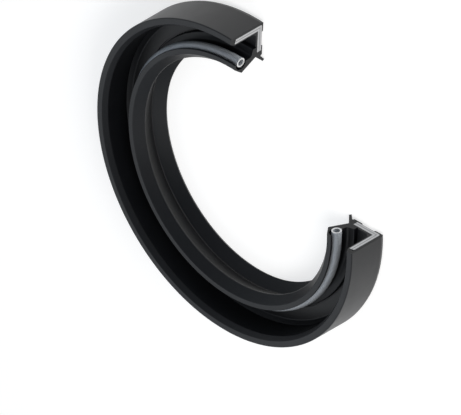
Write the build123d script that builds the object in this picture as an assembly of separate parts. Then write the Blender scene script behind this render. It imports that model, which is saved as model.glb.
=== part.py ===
from build123d import *
import os
from math import cos, radians, sin, tan

# A radial shaft seal with a quarter of its ring cut out to show the section: a rubber
# body moulded round an L-shaped steel case, and a garter spring seated in the lip.
# Millimetres. Z is the axis of the shaft, and up is the oil side. The seal lies on its
# air side, and the origin is on the axis in the plane where the dust lip touches.
# Heights are measured from the back face of the rubber.

# What the seal fits
shaft_diameter = 45.0
housing_diameter = 62.0
seal_width = 7.85

# The quarter that is cut out, as angles from +X about the axis
window_start_angle = 1.1
window_end_angle = 86.95

# Steel case
sheet_thickness = 1.0
case_hole_clearance = 2.3
case_bend_radius = 0.45
case_inner_bend_radius = 0.15
sheared_corner_width = 0.5
sheared_corner_height = 0.2

# Rubber over the case. The two wraps each take a share of the width of its back.
cover_thickness = 0.6
rim_thickness = 1.05
end_gap_width = 0.6
end_gap_height = 0.15
back_wrap_thickness = 0.25
inner_wrap_share = 0.275
outer_wrap_share = 0.255
wrap_step = 0.13
wrap_bevel = 0.25
wrap_radius = 0.1
wall_lining = 0.2
floor_lining = 0.4
lead_in_depth = 0.26
lead_in_length = 0.7
lead_in_radius = 0.3
rim_bevel_width = 0.58
rim_bevel_height = 0.95
rim_bevel_radius = 0.3
rim_outer_radius = 0.2
rim_inner_radius = 0.12
floor_cone_width = 0.65
floor_cone_height = 0.75
floor_cone_radius = 0.25

# Shoulder at the root of the lip, which takes a share of the channel between the lip
# and the wall, with a narrow groove between it and the floor
shoulder_share = 0.316
shoulder_height = 2.2
shoulder_slope = 15.0
shoulder_radius = 0.2
groove_width = 0.27
groove_floor = 0.15
root_radius = 0.65

# Sealing lip
lip_interference = 0.25
edge_height = 4.85
air_side_angle = 27.6
oil_side_angle = 39.5
head_height = 6.55
valley_height = 1.55
edge_radius = 0.22
head_radius = 0.15
hook_radius = 0.1
valley_radius = 0.2

# Dust lip
dust_lip_interference = 0.3
dust_lip_standout = 0.65
dust_lip_tip_width = 0.26
dust_lip_tip_depth = 0.39
dust_lip_heel_width = 0.32
dust_lip_heel_height = 0.38
heel_radius = 0.12

# Garter spring, and the round seat that holds it. The spring is thinner than the seat
# and lies out and down from its centre, with the seat gap left to the seat's circle.
wire_diameter = 0.32
coil_diameter = 1.82
seat_offset_radial = 2.07
seat_offset_axial = 0.25
seat_clearance = 0.26
seat_gap = 0.07
spring_rest_angle = -54.0
seat_hook_reach = 0.3
seat_foot_reach = 0.13
spring_start_advance = 0.85
spring_end_setback = 0.45

# Sizes that follow
outer_r = housing_diameter / 2
case_outer_r = outer_r - cover_thickness
case_inner_r = case_outer_r - sheet_thickness
case_hole_r = shaft_diameter / 2 + case_hole_clearance
case_back = back_wrap_thickness
case_floor = case_back + sheet_thickness
case_front = seal_width - rim_thickness
wall_r = case_inner_r - wall_lining
floor_height = case_floor + floor_lining
edge_r = shaft_diameter / 2 - lip_interference
seat_centre_r = edge_r + seat_offset_radial
seat_height = edge_height + seat_offset_axial
coil_r = coil_diameter / 2
seat_r = coil_r + seat_clearance
spring_shift = seat_clearance - seat_gap
spring_r = seat_centre_r + spring_shift * cos(radians(spring_rest_angle))
spring_height = seat_height + spring_shift * sin(radians(spring_rest_angle))
hook_r = seat_centre_r + seat_hook_reach
foot_r = seat_centre_r + seat_foot_reach
shoulder_width = shoulder_share * (wall_r - foot_r)
shoulder_r = foot_r + shoulder_width
root_fillet = min(root_radius, shoulder_width - shoulder_radius)
valley_r = edge_r + (edge_height - valley_height) * tan(radians(air_side_angle))
head_r = edge_r + (head_height - edge_height) * tan(radians(oil_side_angle))
dust_edge_r = shaft_diameter / 2 - dust_lip_interference
dust_tip_r = dust_edge_r + dust_lip_tip_width
dust_edge_height = dust_lip_tip_depth - dust_lip_standout
inner_wrap_r = valley_r - wrap_step
outer_wrap_r = outer_r - lead_in_depth
back_width = outer_wrap_r - inner_wrap_r
inner_wrap_end_r = inner_wrap_r + inner_wrap_share * back_width
outer_wrap_end_r = outer_wrap_r - outer_wrap_share * back_width
lift = dust_lip_standout
ring_angle = 360.0 - (window_end_angle - window_start_angle)


def outline(corners):
    """Closed face from corners given as radius, height and corner rounding."""
    points = [(r, height + lift) for r, height, rounding in corners]
    roundings = [rounding for r, height, rounding in corners]
    return make_face(FilletPolyline(points, radius=roundings, close=True))


def ring(section, start_angle, sweep_angle):
    """Turns a section about the axis, from one angle through another."""
    body = revolve(Plane.XZ * section, axis=Axis.Z, revolution_arc=sweep_angle)
    return Rot(0, 0, start_angle) * body


def sheet_section(front_corners):
    """L of bent sheet, with the corners of its front end from the outside inwards."""
    corners = [
        (case_hole_r, case_back, 0),
        (case_outer_r, case_back, case_bend_radius),
    ]
    corners += front_corners
    corners += [
        (case_inner_r, case_floor, case_inner_bend_radius),
        (case_hole_r, case_floor, 0),
    ]
    return outline(corners)


def case_section():
    """The case, whose front end has a sheared outer corner."""
    return sheet_section([
        (case_outer_r, case_front - sheared_corner_height, 0),
        (case_outer_r - sheared_corner_width, case_front, 0),
        (case_inner_r, case_front, 0),
    ])


def case_pocket():
    """Space that the case takes in the rubber, with a small gap above its sheared corner."""
    return sheet_section([
        (case_outer_r, case_front + end_gap_height, 0),
        (case_outer_r - end_gap_width, case_front + end_gap_height, 0),
        (case_outer_r - end_gap_width, case_front, 0),
        (case_inner_r, case_front, 0),
    ])


def rubber_outline():
    """Outside of the moulding, with the case and the spring seat still filled."""
    cover = [
        (outer_wrap_r, 0, wrap_radius),
        (outer_r, lead_in_length, lead_in_radius),
        (outer_r, seal_width, rim_outer_radius),
        (wall_r + rim_bevel_width, seal_width, rim_inner_radius),
        (wall_r, seal_width - rim_bevel_height, rim_bevel_radius),
    ]
    floor = [
        (wall_r, floor_height + floor_cone_height, 0),
        (wall_r - floor_cone_width, floor_height, floor_cone_radius),
        (shoulder_r + groove_width, floor_height, 0),
        (shoulder_r + groove_width, case_floor + groove_floor, 0),
        (shoulder_r, case_floor + groove_floor, 0),
    ]
    root_height = shoulder_height + shoulder_width * tan(radians(shoulder_slope))
    root = [
        (shoulder_r, shoulder_height, shoulder_radius),
        (foot_r, root_height, root_fillet),
        (foot_r, seat_height, 0),
    ]
    head = [
        (hook_r, seat_height, 0),
        (hook_r, head_height, hook_radius),
        (head_r, head_height, head_radius),
        (edge_r, edge_height, edge_radius),
        (valley_r, valley_height, valley_radius),
    ]
    heel_r = valley_r - dust_lip_heel_width
    dust_lip = [
        (dust_edge_r, dust_edge_height, 0),
        (dust_tip_r, -dust_lip_standout, 0),
        (heel_r, dust_lip_heel_height, heel_radius),
    ]
    wraps = [
        (inner_wrap_r, 0, wrap_radius),
        (inner_wrap_end_r, 0, 0),
        (inner_wrap_end_r + wrap_bevel, case_back, 0),
        (outer_wrap_end_r - wrap_bevel, case_back, 0),
        (outer_wrap_end_r, 0, 0),
    ]
    return outline(cover + floor + root + head + dust_lip + wraps)


def make_case():
    return ring(case_section(), window_end_angle, ring_angle)


def make_rubber():
    seat = Pos(seat_centre_r, seat_height + lift) * Circle(seat_r)
    section = rubber_outline() - case_pocket() - seat
    return ring(section, window_end_angle, ring_angle)


def make_spring():
    """Close-wound coil, as the hollow tube that its turns make."""
    section = Pos(spring_r, spring_height + lift) * (Circle(coil_r) - Circle(coil_r - wire_diameter))
    start = window_end_angle + spring_end_setback
    end = window_start_angle + 360.0 + spring_start_advance
    return ring(section, start, end - start)


parts = {
    "rubber_body": make_rubber(),
    "steel_case": make_case(),
    "garter_spring": make_spring(),
}

os.makedirs("parts", exist_ok=True)
for node, solid in parts.items():
    export_step(solid, f"parts/{node}.step")
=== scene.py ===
"""Looks of a rotary shaft seal with a quarter of its ring cut out.

The seal lies flat, air side down, with its axis along Z. Sizes are millimetres and
angles degrees where a docstring doesn't say otherwise. Every finished mesh is in metres,
in the frame of the solids.
"""

import logging
import math
from dataclasses import dataclass
from enum import Enum

import bpy
import numpy as np
from mathutils import Matrix, Vector
from mathutils.geometry import delaunay_2d_cdt


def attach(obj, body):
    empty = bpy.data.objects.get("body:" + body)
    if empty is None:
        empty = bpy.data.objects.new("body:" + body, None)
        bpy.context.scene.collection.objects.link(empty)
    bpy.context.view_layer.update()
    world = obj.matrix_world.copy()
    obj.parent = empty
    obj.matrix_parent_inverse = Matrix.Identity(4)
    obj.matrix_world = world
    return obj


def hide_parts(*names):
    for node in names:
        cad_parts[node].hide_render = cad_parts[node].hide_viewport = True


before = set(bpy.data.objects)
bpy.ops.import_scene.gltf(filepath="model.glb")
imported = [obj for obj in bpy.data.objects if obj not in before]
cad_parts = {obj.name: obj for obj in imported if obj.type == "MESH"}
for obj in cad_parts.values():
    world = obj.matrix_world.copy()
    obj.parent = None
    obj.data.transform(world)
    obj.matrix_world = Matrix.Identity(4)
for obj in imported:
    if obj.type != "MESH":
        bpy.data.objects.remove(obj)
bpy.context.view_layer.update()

MM = 0.001
Pair = tuple[float, float]
Triple = tuple[float, float, float]
Socket = bpy.types.NodeSocket
log = logging.getLogger("seal")

# A straight stretch of an outline gets a point this far in from each of its ends, or at
# this share of its length if that is less. Points nearer than the last value are one.
STRETCH_INSET = 0.04
STRETCH_INSET_SHARE = 0.2
SAME_POINT = 1e-6

# Delaunay division: the option that keeps what lies inside, and the tolerance
KEEP_INSIDE = 1
FILL_TOLERANCE = 1e-7


class Surface(Enum):
    """Which face of a piece a finish goes on, as the piece's material index."""

    SKIN = 0
    CUT = 1


class Reckon(Enum):
    """What a math node does, by Blender's own name for it."""

    ADD = "ADD"
    SUBTRACT = "SUBTRACT"
    MULTIPLY = "MULTIPLY"
    MULTIPLY_ADD = "MULTIPLY_ADD"
    DIVIDE = "DIVIDE"
    MAXIMUM = "MAXIMUM"
    ABSOLUTE = "ABSOLUTE"


# Shapes


def rounded(corners: np.ndarray, steps: int) -> np.ndarray:
    """Closed outline with an arc at each corner that has a radius.

    The arc of radius R at a corner of inner angle A touches both sides at R / tan(A/2)
    from the corner, and its centre lies R / sin(A/2) along the bisector. Each straight
    stretch gets a point near both of its ends, which keeps its shading flat.

    Args:
        corners: Rows of radius from the axis, height and corner radius.
        steps: Points along each arc.

    Returns:
        The outline's points, in the order of the corners.
    """
    tip, bend = corners[:, :2], corners[:, 2:3]
    to_last = np.roll(tip, 1, axis=0) - tip
    to_next = np.roll(tip, -1, axis=0) - tip
    to_last /= np.linalg.norm(to_last, axis=1, keepdims=True)
    to_next /= np.linalg.norm(to_next, axis=1, keepdims=True)
    half = np.arccos(np.clip((to_last * to_next).sum(1, keepdims=True), -1, 1)) / 2
    start = tip + to_last * bend / np.tan(half)
    end = tip + to_next * bend / np.tan(half)
    middle = to_last + to_next
    middle /= np.linalg.norm(middle, axis=1, keepdims=True)
    centre = tip + middle * bend / np.sin(half)
    first = np.arctan2(*(start - centre).T[::-1])
    last = np.arctan2(*(end - centre).T[::-1])
    sweep = (last - first + np.pi) % (2 * np.pi) - np.pi
    angle = first[:, None] + sweep[:, None] * np.linspace(0, 1, steps)
    arcs = centre[:, None] + bend[:, None] * np.stack([np.cos(angle), np.sin(angle)], -1)
    straight = np.roll(start, -1, axis=0) - end
    length = np.linalg.norm(straight, axis=1, keepdims=True)
    inset = straight * np.minimum(STRETCH_INSET / length, STRETCH_INSET_SHARE)
    stretches = np.stack([end + inset, end + straight - inset], 1)
    points = np.concatenate([arcs, stretches], 1).reshape(-1, 2)
    gap = np.linalg.norm(np.roll(points, 1, axis=0) - points, axis=1)
    return points[gap > SAME_POINT]


@dataclass
class MeshArrays:
    """Vertices, faces and surface coordinates of a piece, ready for Blender.

    Attributes:
        vertices: One point in each row.
        quads: Four vertex numbers in each row.
        quad_uv: Surface coordinates of the corners of each quad.
        caps: Vertex numbers of each face that closes an end.
        cap_uv: Surface coordinates of the corners of each such face.
        cut_quads: Whether each quad has the cut faces' finish. Left out, none has it.
    """

    vertices: np.ndarray
    quads: np.ndarray
    quad_uv: np.ndarray
    caps: list[np.ndarray]
    cap_uv: list[np.ndarray]
    cut_quads: np.ndarray | None = None

    def to_object(self, name: str, smooth_below: float) -> bpy.types.Object:
        """Puts the arrays into a mesh object at the origin.

        Args:
            name: The piece's name.
            smooth_below: Edges with a smaller angle than this shade smooth.

        Returns:
            The new object, linked to the scene. Its caps have the cut faces' index.
        """
        mesh = bpy.data.meshes.new(name)
        faces = self.quads.tolist() + [cap.tolist() for cap in self.caps]
        mesh.from_pydata(self.vertices * MM, [], faces)
        side = np.full(len(faces), Surface.SKIN.value, dtype=np.int32)
        side[len(self.quads):] = Surface.CUT.value
        if self.cut_quads is not None:
            side[:len(self.quads)][self.cut_quads] = Surface.CUT.value
        mesh.polygons.foreach_set("material_index", side)
        mesh.polygons.foreach_set("use_smooth", side == Surface.SKIN.value)
        uv = np.concatenate([self.quad_uv.reshape(-1, 2)] + self.cap_uv)
        layer = mesh.uv_layers.new(name="surface")
        layer.data.foreach_set("uv", (uv * MM).ravel().astype(np.float32))
        mesh.set_sharp_from_angle(angle=math.radians(smooth_below))
        mesh.validate()
        mesh.update()
        piece = bpy.data.objects.new(name, mesh)
        bpy.context.scene.collection.objects.link(piece)
        return piece


def grid_quads(rows: int, columns: int) -> np.ndarray:
    """Corner numbers of the quads on a grid of vertices whose rows are closed.

    Quad (i, j) joins vertex i*columns + j to its neighbours in row i + 1 and column
    j + 1, and the last column joins the first one.

    Args:
        rows: Vertices along the path.
        columns: Vertices round the outline.

    Returns:
        One row of four vertex numbers for each quad.
    """
    i = np.arange(rows - 1)[:, None]
    j = np.arange(columns)[None, :]
    k = (j + 1) % columns
    here, ahead = i * columns, (i + 1) * columns
    return np.stack([here + j, ahead + j, ahead + k, here + k], -1).reshape(-1, 4)


def filled(outline: np.ndarray) -> np.ndarray:
    """Triangles that fill a closed outline, by a Delaunay division held to its edges.

    Args:
        outline: The outline's points, anticlockwise.

    Returns:
        Rows of three point numbers, anticlockwise.
    """
    points = [Vector(point) for point in outline.tolist()]
    border = [list(range(len(points)))]
    made = delaunay_2d_cdt(points, [], border, KEEP_INSIDE, FILL_TOLERANCE)
    number = np.array([source[0] for source in made[3]])
    corners = number[np.array(made[2])]
    a, b, c = (outline[corners[:, k]] for k in range(3))
    area = (b - a)[:, 0] * (c - a)[:, 1] - (b - a)[:, 1] * (c - a)[:, 0]
    return np.where(area[:, None] > 0, corners, corners[:, ::-1])


def turned(outline: np.ndarray, start: float, end: float, segments: int) -> MeshArrays:
    """A section carried round the axis from one angle to another, closed by two cut faces.

    Point (r, z) of the outline at angle A lies at (r cos A, r sin A, z). The outline runs
    anticlockwise, so the faces point outwards. The surface coordinates are the way along
    the outline and the way round the ring on the sides, and r and z on the cut faces.

    Args:
        outline: The section's points as radius and height.
        start: First angle.
        end: Last angle.
        segments: Steps from the first angle to the last.

    Returns:
        The arrays of the turned piece.
    """
    angle = np.radians(np.linspace(start, end, segments + 1))
    radius, height = outline.T
    vertices = np.stack([
        np.cos(angle)[:, None] * radius,
        np.sin(angle)[:, None] * radius,
        np.broadcast_to(height, (len(angle), len(height))),
    ], -1).reshape(-1, 3)
    count = len(outline)
    quads = grid_quads(len(angle), count)
    steps = np.linalg.norm(np.roll(outline, -1, axis=0) - outline, axis=1)
    along = np.concatenate([[0], np.cumsum(steps)])
    u = np.broadcast_to(along[None, :-1], (segments, count))
    u_next = np.broadcast_to(along[None, 1:], (segments, count))
    v = np.broadcast_to(angle[:-1, None] * radius.max(), (segments, count))
    v_next = np.broadcast_to(angle[1:, None] * radius.max(), (segments, count))
    quad_uv = np.stack([
        np.stack([u, v], -1), np.stack([u, v_next], -1),
        np.stack([u_next, v_next], -1), np.stack([u_next, v], -1),
    ], 2)
    first = filled(outline)
    last = first[:, ::-1]
    caps = np.concatenate([first, last + segments * count])
    cap_uv = outline[np.concatenate([first, last])]
    return MeshArrays(vertices, quads, quad_uv.reshape(-1, 4, 2), list(caps), list(cap_uv))


# Finishes


@dataclass(frozen=True)
class Grain:
    """Noise of one size in every direction.

    Attributes:
        scale: Features per metre.
        detail: Layers of finer noise.
        depth: Depth of its relief in metres.
    """

    scale: float
    detail: float
    depth: float = 0.0


@dataclass(frozen=True)
class Marks:
    """Noise drawn out along the piece's own surface.

    Attributes:
        first: Features per metre along the first surface coordinate.
        second: Features per metre along the second one.
        detail: Layers of finer noise.
        depth: Depth of its relief in metres.
    """

    first: float
    second: float
    detail: float
    depth: float = 0.0


class NodeSheet:
    """The node tree of a material or of the world, and short ways to fill it."""

    # Places of the share, the two colours and the result among a colour mix's sockets
    MIX_SHARE, MIX_FIRST, MIX_SECOND, MIX_RESULT = 0, 6, 7, 2

    def __init__(self, owner: bpy.types.Material | bpy.types.World) -> None:
        """Starts an empty tree.

        Args:
            owner: The material or world that it belongs to.
        """
        owner.use_nodes = True
        self.owner = owner
        self.tree = owner.node_tree
        self.tree.nodes.clear()

    def node(self, kind: str, **settings: object) -> bpy.types.Node:
        """Adds a node and sets its properties.

        Args:
            kind: The node's Blender type.
            **settings: Property names and values.

        Returns:
            The new node.
        """
        made = self.tree.nodes.new(kind)
        for key, value in settings.items():
            setattr(made, key, value)
        return made

    def put(self, value: object, socket: Socket) -> None:
        """Links an output to an input, or writes a plain value into it.

        Args:
            value: An output, or a number, colour or vector.
            socket: The input.
        """
        if isinstance(value, Socket):
            self.tree.links.new(value, socket)
        else:
            socket.default_value = value

    def math(self, operation: Reckon, *values: object) -> Socket:
        """Adds a math node.

        Args:
            operation: What it does.
            *values: Up to three numbers or outputs that it works on.

        Returns:
            The result.
        """
        made = self.node("ShaderNodeMath", operation=operation.value)
        for value, socket in zip(values, made.inputs):
            self.put(value, socket)
        return made.outputs[0]

    def vary(self, source: object, low: float, high: float) -> Socket:
        """Stretches 0 to 1 to the span from low to high, and stays within it.

        Args:
            source: A number or output.
            low: What 0 becomes.
            high: What 1 becomes.

        Returns:
            The stretched value.
        """
        made = self.node("ShaderNodeMapRange")
        self.put(source, made.inputs["Value"])
        made.inputs["To Min"].default_value = low
        made.inputs["To Max"].default_value = high
        return made.outputs["Result"]

    def blend(self, share: object, first: object, second: object) -> Socket:
        """Mixes two colours.

        Args:
            share: How much of the second there is, 0 to 1.
            first: A colour of three numbers, or an output.
            second: The same.

        Returns:
            The mixed colour.
        """
        made = self.node("ShaderNodeMix", data_type="RGBA")
        self.put(share, made.inputs[self.MIX_SHARE])
        for colour, place in ((first, self.MIX_FIRST), (second, self.MIX_SECOND)):
            plain = (*colour, 1) if isinstance(colour, tuple) else colour
            self.put(plain, made.inputs[place])
        return made.outputs[self.MIX_RESULT]

    def surface(self) -> Socket:
        """The piece's own surface coordinates, in metres."""
        return self.node("ShaderNodeUVMap", uv_map="surface").outputs["UV"]

    def noise(self, place: Socket, scale: float, detail: float) -> Socket:
        """Cloudy noise from 0 to 1.

        Args:
            place: Where on the piece a point lies.
            scale: Features per unit of the place.
            detail: Layers of finer noise.

        Returns:
            The noise.
        """
        made = self.node("ShaderNodeTexNoise")
        self.put(place, made.inputs["Vector"])
        made.inputs["Scale"].default_value = scale
        made.inputs["Detail"].default_value = detail
        return made.outputs["Fac"]

    def grain(self, grain: Grain) -> Socket:
        """Noise of one size on the object's coordinates, from 0 to 1."""
        place = self.node("ShaderNodeTexCoord").outputs["Object"]
        return self.noise(place, grain.scale, grain.detail)

    def marks(self, marks: Marks) -> Socket:
        """Noise drawn out along the piece's surface.

        Args:
            marks: Its sizes.

        Returns:
            The noise, from 0 to 1.
        """
        spread = self.node("ShaderNodeMapping")
        self.put(self.surface(), spread.inputs["Vector"])
        spread.inputs["Scale"].default_value = (marks.first, marks.second, 1.0)
        return self.noise(spread.outputs["Vector"], 1.0, marks.detail)

    def relief(self, height: Socket, depth: float, below: object = None) -> Socket:
        """Surface normal with a height pattern on it.

        Args:
            height: The pattern, 0 to 1.
            depth: Its depth in metres.
            below: A normal that this one is laid over.

        Returns:
            The bent normal.
        """
        made = self.node("ShaderNodeBump")
        made.inputs["Strength"].default_value = 1.0
        made.inputs["Distance"].default_value = depth
        self.put(height, made.inputs["Height"])
        if below is not None:
            self.put(below, made.inputs["Normal"])
        return made.outputs["Normal"]

    def finish(
        self, colour: Socket, roughness: Socket, normal: Socket, **plain: float
    ) -> bpy.types.Material:
        """Ends the tree in a Principled shader.

        Args:
            colour: Base colour.
            roughness: Roughness.
            normal: Surface normal.
            **plain: Other inputs that are the same all over, by name.

        Returns:
            The finished material.
        """
        shader = self.node("ShaderNodeBsdfPrincipled")
        self.put(colour, shader.inputs["Base Color"])
        self.put(roughness, shader.inputs["Roughness"])
        self.put(normal, shader.inputs["Normal"])
        for key, value in plain.items():
            shader.inputs[key].default_value = value
        output = self.node("ShaderNodeOutputMaterial")
        self.put(shader.outputs["BSDF"], output.inputs["Surface"])
        return self.owner


@dataclass(frozen=True)
class MouldedRubber:
    """Nitrile rubber as it leaves a turned steel mould: satin, with a faint bloom."""

    dark: Triple = (0.0022, 0.0024, 0.0030)
    light: Triple = (0.0036, 0.0038, 0.0046)
    roughness: Pair = (0.40, 0.50)
    clouds: Grain = Grain(260.0, 4.0)
    grain: Grain = Grain(9000.0, 2.0, depth=3e-6)
    turning_lines: Marks = Marks(9000.0, 40.0, 1.0, depth=2e-6)
    refraction: float = 1.5

    def material(self, name: str) -> bpy.types.Material:
        """Colour and sheen drift in soft clouds, over fine grain and turning lines.

        Args:
            name: The material's name.

        Returns:
            The finished material.
        """
        sheet = NodeSheet(bpy.data.materials.new(name))
        clouds = sheet.grain(self.clouds)
        colour = sheet.blend(clouds, self.dark, self.light)
        roughness = sheet.vary(clouds, *self.roughness)
        normal = sheet.relief(sheet.grain(self.grain), self.grain.depth)
        lines = sheet.marks(self.turning_lines)
        normal = sheet.relief(lines, self.turning_lines.depth, normal)
        return sheet.finish(colour, roughness, normal, IOR=self.refraction)


@dataclass(frozen=True)
class SlicedRubber:
    """Rubber where the ring is cut through: matt, a shade lighter, with blade marks."""

    dark: Triple = (0.004, 0.004, 0.0045)
    light: Triple = (0.009, 0.009, 0.0095)
    roughness: Pair = (0.55, 0.72)
    specks: Grain = Grain(5200.0, 3.0)
    blade_marks: Marks = Marks(700.0, 9000.0, 2.0, depth=6e-6)
    refraction: float = 1.5

    def material(self, name: str) -> bpy.types.Material:
        """Fine specks of filler and marks of the blade.

        Args:
            name: The material's name.

        Returns:
            The finished material.
        """
        sheet = NodeSheet(bpy.data.materials.new(name))
        colour = sheet.blend(sheet.grain(self.specks), self.dark, self.light)
        marks = sheet.marks(self.blade_marks)
        roughness = sheet.vary(marks, *self.roughness)
        normal = sheet.relief(marks, self.blade_marks.depth)
        return sheet.finish(colour, roughness, normal, IOR=self.refraction)


@dataclass(frozen=True)
class SheetSteel:
    """Cold-rolled sheet of the case, where it is bare on the back."""

    dark: Triple = (0.30, 0.30, 0.30)
    light: Triple = (0.42, 0.42, 0.42)
    roughness: Pair = (0.38, 0.55)
    patches: Grain = Grain(900.0, 5.0)
    rolling_marks: Marks = Marks(14000.0, 120.0, 2.0, depth=4e-6)
    metal: float = 1.0

    def material(self, name: str) -> bpy.types.Material:
        """Grey phosphated steel with rolling marks that run round the ring.

        Args:
            name: The material's name.

        Returns:
            The finished material.
        """
        sheet = NodeSheet(bpy.data.materials.new(name))
        colour = sheet.blend(sheet.grain(self.patches), self.dark, self.light)
        marks = sheet.marks(self.rolling_marks)
        roughness = sheet.vary(marks, *self.roughness)
        normal = sheet.relief(marks, self.rolling_marks.depth)
        return sheet.finish(colour, roughness, normal, Metallic=self.metal)


@dataclass(frozen=True)
class SawnSteel:
    """Steel where the ring is cut through: bright, with painted shade along the middle of the
    strip and at its edges.

    The middle line of the bent sheet runs up the wall at one radius and in along the leg
    at one height. A point's distance from it is the size of the larger of (radius - wall's
    middle) and (leg's middle - height).

    Attributes:
        wall_middle: Radius of the middle of the wall.
        leg_middle: Height of the middle of the leg.
        half_sheet: Half the sheet's thickness.
        middle_shade_reach: How far the painted shade along the middle fades out.
        edge_shade_reach: How far the painted shade at the edges fades out.
    """

    wall_middle: float
    leg_middle: float
    half_sheet: float
    middle_shade_reach: float = 0.13
    edge_shade_reach: float = 0.1
    dark: Triple = (0.42, 0.42, 0.425)
    light: Triple = (0.56, 0.56, 0.565)
    # Painted shade: a dark line along the sheet's middle and dark edges, standing in for the
    # shading of its cut face.
    middle_shade: Triple = (0.17, 0.17, 0.17)
    rim: Triple = (0.16, 0.16, 0.16)
    roughness: Pair = (0.42, 0.58)
    saw_marks: Marks = Marks(1500.0, 16000.0, 2.0, depth=3e-6)
    metal: float = 0.6

    def off_middle(self, sheet: NodeSheet) -> Socket:
        """Distance of a point of the cut face from the middle line of the sheet.

        Args:
            sheet: The material's node sheet.

        Returns:
            The distance in metres.
        """
        place = sheet.node("ShaderNodeSeparateXYZ")
        sheet.put(sheet.surface(), place.inputs[0])
        wall = sheet.math(Reckon.SUBTRACT, place.outputs["X"], self.wall_middle * MM)
        leg = sheet.math(Reckon.SUBTRACT, self.leg_middle * MM, place.outputs["Y"])
        return sheet.math(Reckon.ABSOLUTE, sheet.math(Reckon.MAXIMUM, wall, leg))

    def material(self, name: str) -> bpy.types.Material:
        """Bright metal with marks of the saw, and painted shade along its middle and at its edges.

        Args:
            name: The material's name.

        Returns:
            The finished material.
        """
        sheet = NodeSheet(bpy.data.materials.new(name))
        marks = sheet.marks(self.saw_marks)
        away = self.off_middle(sheet)
        inside = sheet.math(Reckon.SUBTRACT, self.half_sheet * MM, away)
        # Painted shade: the colour darkens towards the sheet's middle and towards both its edges.
        middle = sheet.vary(sheet.math(Reckon.DIVIDE, away, self.middle_shade_reach * MM), 1.0, 0.0)
        edge = sheet.vary(sheet.math(Reckon.DIVIDE, inside, self.edge_shade_reach * MM), 1.0, 0.0)
        colour = sheet.blend(middle, sheet.blend(marks, self.dark, self.light), self.middle_shade)
        colour = sheet.blend(edge, colour, self.rim)
        roughness = sheet.vary(marks, *self.roughness)
        normal = sheet.relief(marks, self.saw_marks.depth)
        return sheet.finish(colour, roughness, normal, Metallic=self.metal)


@dataclass(frozen=True)
class GroundWire:
    """The spring's end turns where they are ground flat: bright, with fine marks."""

    dark: Triple = (0.60, 0.60, 0.60)
    light: Triple = (0.74, 0.74, 0.74)
    roughness: Pair = (0.45, 0.6)
    scratches: Marks = Marks(900.0, 16000.0, 2.0, depth=2e-6)
    metal: float = 0.5

    def material(self, name: str) -> bpy.types.Material:
        """Bright metal with scratches that follow the turn.

        Args:
            name: The material's name.

        Returns:
            The finished material.
        """
        sheet = NodeSheet(bpy.data.materials.new(name))
        marks = sheet.marks(self.scratches)
        colour = sheet.blend(marks, self.dark, self.light)
        roughness = sheet.vary(marks, *self.roughness)
        normal = sheet.relief(marks, self.scratches.depth)
        return sheet.finish(colour, roughness, normal, Metallic=self.metal)


@dataclass(frozen=True)
class SpringWire:
    """Drawn spring wire, lightly oiled, a cool grey."""

    dark: Triple = (0.455, 0.48, 0.51)
    light: Triple = (0.56, 0.585, 0.615)
    roughness: Pair = (0.50, 0.62)
    tone: Grain = Grain(1400.0, 3.0)
    drawing_marks: Marks = Marks(300.0, 12000.0, 1.0, depth=2e-6)
    metal: float = 0.8

    def material(self, name: str) -> bpy.types.Material:
        """Drawing marks along the wire, and a tone that shifts from turn to turn.

        Args:
            name: The material's name.

        Returns:
            The finished material.
        """
        sheet = NodeSheet(bpy.data.materials.new(name))
        colour = sheet.blend(sheet.grain(self.tone), self.dark, self.light)
        marks = sheet.marks(self.drawing_marks)
        roughness = sheet.vary(marks, *self.roughness)
        normal = sheet.relief(marks, self.drawing_marks.depth)
        return sheet.finish(colour, roughness, normal, Metallic=self.metal)


# Pieces


@dataclass(frozen=True)
class SealSizes:
    """Sizes that the pieces of the seal share, with heights from the back face.

    The standout is how far the dust lip, on which the seal lies, reaches below that
    face. The seat's offset is from the sealing edge, as radius and height. The rest
    angle is the way that the spring lies off the middle of its seat.
    """

    shaft_radius: float = 22.5
    housing_radius: float = 31.0
    width: float = 7.85
    standout: float = 0.65
    cover: float = 0.6
    sheet: float = 1.0
    case_hole_radius: float = 24.8
    case_back: float = 0.25
    rim: float = 1.05
    bend: float = 0.45
    inner_bend: float = 0.15
    edge_height: float = 4.85
    lip_interference: float = 0.25
    seat_offset: Pair = (2.07, 0.25)
    seat_clearance: float = 0.26
    seat_gap: float = 0.07
    rest_angle: float = -54.0
    coil_radius: float = 0.91
    cut_start: float = 1.1
    cut_end: float = 86.95

    @property
    def case_outer(self) -> float:
        """Outside radius of the case."""
        return self.housing_radius - self.cover

    @property
    def case_inner(self) -> float:
        """Inside radius of the case's wall."""
        return self.case_outer - self.sheet

    @property
    def case_front(self) -> float:
        """Height of the case's front end."""
        return self.width - self.rim

    @property
    def case_floor(self) -> float:
        """Height of the inner side of the case's leg."""
        return self.case_back + self.sheet

    @property
    def edge_radius(self) -> float:
        """Free radius of the sealing edge."""
        return self.shaft_radius - self.lip_interference

    @property
    def seat_centre(self) -> np.ndarray:
        """Radius and height of the middle of the spring's seat."""
        return np.array([self.edge_radius, self.edge_height]) + self.seat_offset

    @property
    def spring_centre(self) -> np.ndarray:
        """Radius and height of the coil's centre line, off the seat's at the rest angle."""
        rest, shift = math.radians(self.rest_angle), self.seat_clearance - self.seat_gap
        return self.seat_centre + shift * np.array([math.cos(rest), math.sin(rest)])


@dataclass(frozen=True)
class Roundings:
    """Radii of the rounded corners of the rubber's section."""

    hook: float = 0.1
    head: float = 0.15
    edge: float = 0.22
    valley: float = 0.2
    heel: float = 0.12
    wrap: float = 0.1
    lead_in: float = 0.3
    rim_outer: float = 0.2
    rim_inner: float = 0.12
    bevel: float = 0.3
    cone: float = 0.25
    shoulder: float = 0.2
    root: float = 0.65


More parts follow.
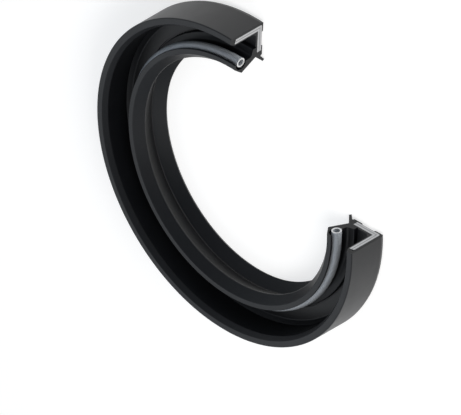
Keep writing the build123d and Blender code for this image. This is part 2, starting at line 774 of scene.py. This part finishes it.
@dataclass
class RubberBody:
    """The one moulding of rubber: cover, lining, back wraps, sealing lip and dust lip.

    A pair is a width along the radius and a height. A share is one of the room that the
    feature has: the back's width for the wraps, the channel's for the shoulder.
    """

    sizes: SealSizes
    roundings: Roundings = Roundings()
    wall_lining: float = 0.2
    floor_lining: float = 0.4
    lead_in: Pair = (0.26, 0.7)
    rim_bevel: Pair = (0.58, 0.95)
    cone: Pair = (0.65, 0.75)
    inner_wrap_share: float = 0.275
    outer_wrap_share: float = 0.255
    wrap_step: float = 0.13
    wrap_bevel: float = 0.25
    shoulder_share: float = 0.316
    shoulder_height: float = 2.2
    shoulder_slope: float = 15.0
    groove: Pair = (0.27, 0.15)
    air_angle: float = 27.6
    oil_angle: float = 39.5
    head_height: float = 6.55
    valley_height: float = 1.55
    dust_interference: float = 0.3
    dust_tip: Pair = (0.26, 0.39)
    dust_heel: Pair = (0.32, 0.38)
    hook_reach: float = 0.3
    foot_reach: float = 0.13
    end_gap: Pair = (0.6, 0.15)
    seat_steps: int = 30
    corner_steps: int = 6
    segments: int = 220
    smooth_below: float = 28.0

    @property
    def valley_radius(self) -> float:
        """Radius of the valley between the two lips."""
        drop = self.sizes.edge_height - self.valley_height
        return self.sizes.edge_radius + drop * math.tan(math.radians(self.air_angle))

    @property
    def channel_floor(self) -> float:
        """Height of the rubber on the floor of the channel."""
        return self.sizes.case_floor + self.floor_lining

    @property
    def channel_wall(self) -> float:
        """Radius of the rubber on the wall of the channel."""
        return self.sizes.case_inner - self.wall_lining

    def seat(self) -> np.ndarray:
        """Arc of the spring's seat, from the lip's foot round the axis side to its hook.

        A point of the arc at angle B from the seat's centre lies at the centre plus the
        seat's radius times (cos B, sin B).

        Returns:
            The arc's points, with the corners of the foot and the hook at its ends.
        """
        reach = self.sizes.coil_radius + self.sizes.seat_clearance
        foot = -math.acos(self.foot_reach / reach)
        hook = math.acos(self.hook_reach / reach) - 2 * math.pi
        angle = np.linspace(foot, hook, self.seat_steps)
        return self.sizes.seat_centre + reach * np.stack([np.cos(angle), np.sin(angle)], -1)

    def lip_corners(self, hook: np.ndarray) -> list[Triple]:
        """Corners of the head, the sealing edge, the valley and the dust lip.

        Args:
            hook: Where the seat ends on the head.

        Returns:
            The corners from the hook to the heel of the dust lip.
        """
        s, r = self.sizes, self.roundings
        rise = self.head_height - s.edge_height
        head_r = s.edge_radius + rise * math.tan(math.radians(self.oil_angle))
        dust_r = s.shaft_radius - self.dust_interference
        return [
            (hook[0], hook[1], 0),
            (hook[0], self.head_height, r.hook),
            (head_r, self.head_height, r.head),
            (s.edge_radius, s.edge_height, r.edge),
            (self.valley_radius, self.valley_height, r.valley),
            (dust_r, self.dust_tip[1] - s.standout, 0),
            (dust_r + self.dust_tip[0], -s.standout, 0),
            (self.valley_radius - self.dust_heel[0], self.dust_heel[1], r.heel),
        ]

    def back_corners(self) -> list[Triple]:
        """Corners of the two wraps on the back and of the pocket that the case fills.

        Returns:
            The corners from the inner wrap round the pocket to the outer wrap.
        """
        s, r = self.sizes, self.roundings
        inner_r = self.valley_radius - self.wrap_step
        outer_r = s.housing_radius - self.lead_in[0]
        inner_end = inner_r + self.inner_wrap_share * (outer_r - inner_r)
        outer_end = outer_r - self.outer_wrap_share * (outer_r - inner_r)
        gap_r = s.case_outer - self.end_gap[0]
        gap_top = s.case_front + self.end_gap[1]
        return [
            (inner_r, 0, r.wrap),
            (inner_end, 0, 0),
            (inner_end + self.wrap_bevel, s.case_back, 0),
            (s.case_hole_radius, s.case_back, 0),
            (s.case_hole_radius, s.case_floor, 0),
            (s.case_inner, s.case_floor, s.inner_bend),
            (s.case_inner, s.case_front, 0),
            (gap_r, s.case_front, 0),
            (gap_r, gap_top, 0),
            (s.case_outer, gap_top, 0),
            (s.case_outer, s.case_back, s.bend),
            (outer_end - self.wrap_bevel, s.case_back, 0),
            (outer_end, 0, 0),
            (outer_r, 0, r.wrap),
        ]

    def cover_corners(self) -> list[Triple]:
        """Corners of the outside, the rim and the lining of the channel.

        Returns:
            The corners from the lead-in to the cone on the channel's floor.
        """
        s, r = self.sizes, self.roundings
        return [
            (s.housing_radius, self.lead_in[1], r.lead_in),
            (s.housing_radius, s.width, r.rim_outer),
            (self.channel_wall + self.rim_bevel[0], s.width, r.rim_inner),
            (self.channel_wall, s.width - self.rim_bevel[1], r.bevel),
            (self.channel_wall, self.channel_floor + self.cone[1], 0),
            (self.channel_wall - self.cone[0], self.channel_floor, r.cone),
        ]

    def root_corners(self, foot: np.ndarray) -> list[Triple]:
        """Corners of the groove and the shoulder at the root of the lip.

        Args:
            foot: Where the seat ends on the root.

        Returns:
            The corners from the channel's floor to the foot.
        """
        r = self.roundings
        width = self.shoulder_share * (self.channel_wall - foot[0])
        shoulder_r = foot[0] + width
        groove_r = shoulder_r + self.groove[0]
        groove_floor = self.sizes.case_floor + self.groove[1]
        slope = math.tan(math.radians(self.shoulder_slope))
        return [
            (groove_r, self.channel_floor, 0),
            (groove_r, groove_floor, 0),
            (shoulder_r, groove_floor, 0),
            (shoulder_r, self.shoulder_height, r.shoulder),
            (foot[0], self.shoulder_height + width * slope, r.root),
            (foot[0], foot[1], 0),
        ]

    def build(self) -> bpy.types.Object:
        """Makes the moulding and dresses it.

        The points on the straight stretch from foot to hook give way to the seat's arc.

        Returns:
            The finished piece.
        """
        seat = self.seat()
        corners = self.lip_corners(seat[-1]) + self.back_corners() + self.cover_corners()
        corners += self.root_corners(seat[0])
        straight_sided = rounded(np.array(corners, dtype=float), self.corner_steps)
        outline = np.concatenate([straight_sided[:-2], seat[1:-1]])
        outline[:, 1] += self.sizes.standout
        arrays = turned(outline, self.sizes.cut_end, self.sizes.cut_start + 360, self.segments)
        piece = arrays.to_object("rubber_moulding", self.smooth_below)
        piece.data.materials.append(MouldedRubber().material("moulded_rubber"))
        piece.data.materials.append(SlicedRubber().material("sliced_rubber"))
        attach(piece, "root")
        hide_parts("rubber_body")
        return piece


@dataclass
class SteelCase:
    """The L-shaped stamping that stiffens the seal.

    The sheared corner is the width and the height that its front end lacks outside.
    """

    sizes: SealSizes
    sheared_corner: Pair = (0.5, 0.2)
    corner_steps: int = 8
    segments: int = 220
    smooth_below: float = 28.0

    def build(self) -> bpy.types.Object:
        """Makes the bent sheet and dresses it.

        Returns:
            The finished piece.
        """
        s = self.sizes
        corners = [
            (s.case_hole_radius, s.case_back, 0),
            (s.case_outer, s.case_back, s.bend),
            (s.case_outer, s.case_front - self.sheared_corner[1], 0),
            (s.case_outer - self.sheared_corner[0], s.case_front, 0),
            (s.case_inner, s.case_front, 0),
            (s.case_inner, s.case_floor, s.inner_bend),
            (s.case_hole_radius, s.case_floor, 0),
        ]
        outline = rounded(np.array(corners, dtype=float), self.corner_steps)
        outline[:, 1] += s.standout
        arrays = turned(outline, s.cut_end, s.cut_start + 360, self.segments)
        piece = arrays.to_object("case_stamping", self.smooth_below)
        half = s.sheet / 2
        cut = SawnSteel(s.case_outer - half, s.case_back + half + s.standout, half)
        piece.data.materials.append(SheetSteel().material("sheet_steel"))
        piece.data.materials.append(cut.material("sawn_steel"))
        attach(piece, "root")
        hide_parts("steel_case")
        return piece


@dataclass
class GarterSpring:
    """The close-wound coil in the lip's seat, with its two cut ends closed and flat.

    Attributes:
        sizes: Sizes shared with the other pieces.
        wire: Diameter of the wire.
        pitch: Distance from turn to turn.
        start_advance: Angle by which the spring stands out of the first cut face.
        end_setback: Angle by which it lies behind the other one.
        hidden_depth: How much deeper the turn behind an end turn is ground.
        on_plane: Points this near to an end's plane count as lying on it.
        steps_per_turn: Steps along each turn.
        end_steps: Steps along each end turn.
        sides: Sides of the wire.
        smooth_below: Edges with a smaller angle than this shade smooth.
    """

    sizes: SealSizes
    wire: float = 0.314
    pitch: float = 0.32
    start_advance: float = 0.85
    end_setback: float = 0.45
    hidden_depth: float = 0.006
    on_plane: float = 1e-9
    steps_per_turn: int = 20
    end_steps: int = 48
    sides: int = 8
    smooth_below: float = 50.0

    def centre_line(self) -> tuple[np.ndarray, np.ndarray]:
        """Angles of the wire: round the coil and round the seal.

        The wire winds with even pitch, and its first and last turns stay in the planes of
        the cut ends, so the angle round the seal is held there.

        Returns:
            The winding angle and the angle round the seal, in radians.
        """
        s = self.sizes
        start = math.radians(s.cut_end + self.end_setback)
        end = math.radians(s.cut_start + 360 + self.start_advance)
        turns = round((end - start) * s.spring_centre[0] / self.pitch)
        winding = np.concatenate([
            np.linspace(-1, 0, self.end_steps, endpoint=False),
            np.linspace(0, turns, turns * self.steps_per_turn, endpoint=False),
            np.linspace(turns, turns + 1, self.end_steps + 1),
        ])
        share = np.clip(winding / turns, 0, 1)
        return 2 * np.pi * winding, start + (end - start) * share

    def wire_grid(self) -> np.ndarray:
        """Surface of the wire, as rows of points round it.

        With R and H the radius and height of the coil's centre line, a the mean radius
        of the coil, W the winding angle and A the angle round the seal, the wire's centre
        lies at angle A, radius R + a cos W and height H + a sin W. Point P round the wire
        lies off it by the wire's radius times (cos P, sin P), along the direction out of
        the coil and the cross product of the wire's direction with it.

        Returns:
            An array of shape (steps, sides, 3).
        """
        s = self.sizes
        winding, angle = self.centre_line()
        mean = s.coil_radius - self.wire / 2
        radius, height = s.spring_centre + [0, s.standout]
        away = np.stack([np.cos(angle), np.sin(angle), np.zeros_like(angle)], -1)
        up = np.array([0.0, 0.0, 1.0])
        outward = np.cos(winding)[:, None] * away + np.sin(winding)[:, None] * up
        centre = away * radius + up * height + outward * mean
        along = np.gradient(centre, axis=0)
        along /= np.linalg.norm(along, axis=1, keepdims=True)
        across = np.cross(along, outward)
        across /= np.linalg.norm(across, axis=1, keepdims=True)
        turn = np.linspace(0, 2 * np.pi, self.sides, endpoint=False)
        offset = np.cos(turn)[:, None] * outward[:, None] + np.sin(turn)[:, None] * across[:, None]
        return centre[:, None] + self.wire / 2 * offset

    def flatten_ends(self, grid: np.ndarray) -> np.ndarray:
        """Grinds the ends flat: what lies d beyond an end's plane moves back by d.

        The turn that rises from an end turn is ground a little deeper, so that it stays
        hidden in that turn and no two flat faces lie in one plane.

        Args:
            grid: Points of the wire, changed in place.

        Returns:
            For each point, whether it was ground.
        """
        angle = self.centre_line()[1]
        ground = np.zeros(grid.shape[:2], dtype=bool)
        reach = 2 * self.steps_per_turn + self.end_steps
        deeper = np.where(np.arange(reach) > self.end_steps, self.hidden_depth, 0.0)[:, None]
        ends = (
            (angle[0], -1, slice(0, reach)),
            (angle[-1], 1, slice(-1, -reach - 1, -1)),
        )
        for end, sign, rows in ends:
            normal = sign * np.array([-math.sin(end), math.cos(end), 0.0])
            beyond = grid[rows] @ normal + deeper
            ground[rows] = beyond > -self.on_plane
            grid[rows] -= np.clip(beyond, 0, None)[..., None] * normal
        return ground

    def quad_coordinates(self, count: int) -> np.ndarray:
        """Surface coordinates of the wire's quads: along the wire, then round it.

        Quad n starts at step n div sides along the wire and side n mod sides round it,
        and reaches one step and one side further.

        Args:
            count: Number of quads.

        Returns:
            An array of shape (count, 4, 2).
        """
        step = 2 * np.pi * self.sizes.coil_radius / self.steps_per_turn
        side = np.pi * self.wire / self.sides
        along, around = np.divmod(np.arange(count), self.sides)
        near = np.stack([along * step, around * side], -1)
        corners = np.array([[0, 1], [1, 1], [1, 0], [0, 0]]) * [step, side]
        return near[:, None] + corners

    def build(self) -> bpy.types.Object:
        """Winds the coil and dresses it.

        Returns:
            The finished piece.
        """
        grid = self.wire_grid()
        ground = self.flatten_ends(grid).ravel()
        rows, sides = grid.shape[:2]
        quads = grid_quads(rows, sides)[:, ::-1]
        ring = np.arange(sides)
        turn = 2 * np.pi * ring / sides
        ring_uv = np.stack([np.cos(turn), np.sin(turn)], -1) * self.wire / 2
        arrays = MeshArrays(
            vertices=grid.reshape(-1, 3),
            quads=quads,
            quad_uv=self.quad_coordinates(len(quads)),
            caps=[ring, (ring + (rows - 1) * sides)[::-1]],
            cap_uv=[ring_uv, ring_uv[::-1]],
            cut_quads=ground[quads].all(1),
        )
        piece = arrays.to_object("wound_spring", self.smooth_below)
        piece.data.materials.append(SpringWire().material("spring_wire"))
        piece.data.materials.append(GroundWire().material("ground_wire"))
        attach(piece, "root")
        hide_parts("garter_spring")
        return piece


# Studio


@dataclass(frozen=True)
class Lamp:
    """A soft square lamp aimed at the seal.

    Attributes:
        name: The lamp's name.
        azimuth: Its direction from the seal, from +X towards +Y.
        elevation: Its angle above the floor.
        power: Watts.
        size: Side of the square in metres.
        distance: Metres from the seal.
        colour: Colour of its light.
        mirrored: Whether reflections show it.
    """

    name: str
    azimuth: float
    elevation: float
    power: float
    size: float
    distance: float = 0.4
    colour: Triple = (1.0, 1.0, 1.0)
    mirrored: bool = True

    def build(self) -> None:
        """Hangs the lamp and aims it.

        For azimuth a and elevation e it hangs at (cos a cos e, sin a cos e, sin e) times
        its distance.
        """
        light = bpy.data.lights.new(self.name, "AREA")
        light.shape = "SQUARE"
        light.size = self.size
        light.energy = self.power
        light.color = self.colour
        lamp = bpy.data.objects.new(self.name, light)
        a, e = math.radians(self.azimuth), math.radians(self.elevation)
        back = Vector((math.cos(a) * math.cos(e), math.sin(a) * math.cos(e), math.sin(e)))
        lamp.location = back * self.distance
        lamp.rotation_euler = back.to_track_quat("Z", "Y").to_euler()
        lamp.visible_glossy = self.mirrored
        bpy.context.scene.collection.objects.link(lamp)


@dataclass(frozen=True)
class Studio:
    """Pale floor, white surroundings, lamps and an isometric camera.

    Attributes:
        turn: Angle of the view from +Z towards +X, about the picture's upright.
        rise: Angle of the view towards +Y.
        pixels_per_metre: Scale of the picture.
        image_width: Its width in pixels.
        centre_right: The picture's middle, to the right of the axis at the back face.
        centre_up: The same, upwards.
        back_face: Height of the back face.
        camera_distance: Metres from the middle to the camera.
        clip: Nearest and farthest distance that it sees, in metres.
        sky_far: Strength of the sky on the side of -X and -Y.
        sky_near: The same on the side of +X and +Y.
        sky_colour: Colour of the sky.
        horizon: Upward part of the direction at which the sky is reached.
        floor_tone: Tone of the floor.
        floor_lift: Light that is added to it where it is seen or mirrored.
        floor_reach: Metres from the middle to each side of the floor.
        floor_drop: Metres by which it lies under the seal.
        lamps: The lamps.
    """

    turn: float = 45.16
    rise: float = 35.4
    pixels_per_metre: float = 5832.0
    image_width: float = 461.0
    centre_right: float = -4.485
    centre_up: float = -7.426
    back_face: float = 0.65
    camera_distance: float = 0.5
    clip: Pair = (0.01, 10.0)
    sky_far: float = 0.42
    sky_near: float = 0.16
    sky_colour: Triple = (0.88, 0.97, 1.08)
    horizon: float = 0.12
    floor_tone: float = 0.45
    floor_lift: float = 0.66
    floor_reach: float = 3.0
    floor_drop: float = 0.00002
    lamps: tuple[Lamp, ...] = (
        Lamp("left", 225.0, 50.0, 0.18, 0.3),
        Lamp("front", 315.0, 50.0, 0.21, 0.3),
        Lamp("key", 18.0, 34.0, 1.25, 0.16, colour=(1.0, 0.97, 0.93), mirrored=False),
        Lamp("side", 65.0, 20.0, 0.5, 0.16, colour=(0.92, 0.98, 1.04), mirrored=False),
    )

    def camera(self) -> None:
        """Sets the camera turned from +Z to +X and raised to +Y, which is up in the picture."""
        data = bpy.data.cameras.new("camera")
        data.type = "ORTHO"
        data.ortho_scale = self.image_width / self.pixels_per_metre
        data.clip_start, data.clip_end = self.clip
        camera = bpy.data.objects.new("camera", data)
        turn, rise = math.radians(self.turn), math.radians(self.rise)
        right = Vector((math.cos(turn), 0, -math.sin(turn)))
        level = math.cos(rise)
        back = Vector((math.sin(turn) * level, math.sin(rise), math.cos(turn) * level))
        up = back.cross(right)
        aim = Vector((0, 0, self.back_face)) + right * self.centre_right + up * self.centre_up
        axes = Matrix((right, up, back)).transposed().to_4x4()
        place = Matrix.Translation(aim * MM + back * self.camera_distance)
        camera.matrix_world = place @ axes
        bpy.context.scene.collection.objects.link(camera)
        bpy.context.scene.camera = camera

    def floor(self) -> None:
        """Lays the floor, which shows white where the light is open and keeps the shadow."""
        sheet = NodeSheet(bpy.data.materials.new("pale_floor"))
        diffuse = sheet.node("ShaderNodeBsdfDiffuse")
        diffuse.inputs["Color"].default_value = (self.floor_tone,) * 3 + (1,)
        glow = sheet.node("ShaderNodeEmission")
        lift = sheet.math(Reckon.MULTIPLY, self.seen(sheet), self.floor_lift)
        sheet.put(lift, glow.inputs["Strength"])
        both = sheet.node("ShaderNodeAddShader")
        sheet.put(diffuse.outputs[0], both.inputs[0])
        sheet.put(glow.outputs[0], both.inputs[1])
        output = sheet.node("ShaderNodeOutputMaterial")
        sheet.put(both.outputs[0], output.inputs["Surface"])
        mesh = bpy.data.meshes.new("floor")
        plan = np.array([[-1, -1], [1, -1], [1, 1], [-1, 1]]) * self.floor_reach
        corners = np.column_stack([plan, np.full(4, -self.floor_drop)])
        mesh.from_pydata(corners, [], [(0, 1, 2, 3)])
        mesh.materials.append(sheet.owner)
        floor = bpy.data.objects.new("floor", mesh)
        bpy.context.scene.collection.objects.link(floor)

    @staticmethod
    def seen(sheet: NodeSheet) -> Socket:
        """Tells rays from the camera, in a mirror or through glass from all others.

        Args:
            sheet: The node sheet that asks.

        Returns:
            1 for those rays and 0 for the others.
        """
        path = sheet.node("ShaderNodeLightPath").outputs
        mirrored = sheet.math(Reckon.MAXIMUM, path["Is Camera Ray"], path["Is Glossy Ray"])
        return sheet.math(Reckon.MAXIMUM, mirrored, path["Is Transmission Ray"])

    def surroundings(self) -> None:
        """Lights the scene from all round, less from the open side of the ring.

        Strength and colour go from white at the horizon to those of the sky over the first
        stretch of height. The sky's own strength falls from the far side to the near one
        with (X + Y) / 2 + 1/2 of the direction.
        """
        world = bpy.data.worlds.new("studio")
        bpy.context.scene.world = world
        sheet = NodeSheet(world)
        way = sheet.node("ShaderNodeSeparateXYZ")
        sheet.put(sheet.node("ShaderNodeTexCoord").outputs["Generated"], way.inputs[0])
        rise = sheet.math(Reckon.DIVIDE, way.outputs["Z"], self.horizon)
        rise = sheet.vary(rise, 0.0, 1.0)
        near = sheet.math(Reckon.ADD, way.outputs["X"], way.outputs["Y"])
        near = sheet.math(Reckon.MULTIPLY_ADD, near, 0.5, 0.5)
        sky = sheet.vary(near, self.sky_far, self.sky_near)
        fall = sheet.math(Reckon.SUBTRACT, sky, 1.0)
        glow = sheet.node("ShaderNodeBackground")
        sheet.put(sheet.math(Reckon.MULTIPLY_ADD, rise, fall, 1.0), glow.inputs["Strength"])
        sheet.put(sheet.blend(rise, (1.0, 1.0, 1.0), self.sky_colour), glow.inputs["Color"])
        output = sheet.node("ShaderNodeOutputWorld")
        sheet.put(glow.outputs[0], output.inputs["Surface"])

    def build(self) -> None:
        """Sets up the camera, the floor, the surroundings and every lamp."""
        bpy.context.scene.view_settings.view_transform = "Standard"
        self.camera()
        self.floor()
        self.surroundings()
        for lamp in self.lamps:
            lamp.build()


def main() -> None:
    """Builds the seal's pieces from the outside inwards, then the studio."""
    logging.basicConfig(level=logging.INFO, format="%(message)s")
    sizes = SealSizes()
    for part in (SteelCase(sizes), RubberBody(sizes), GarterSpring(sizes)):
        piece = part.build()
        log.info("%s: %d faces", piece.name, len(piece.data.polygons))
    Studio().build()


if __name__ == "__main__":
    main()
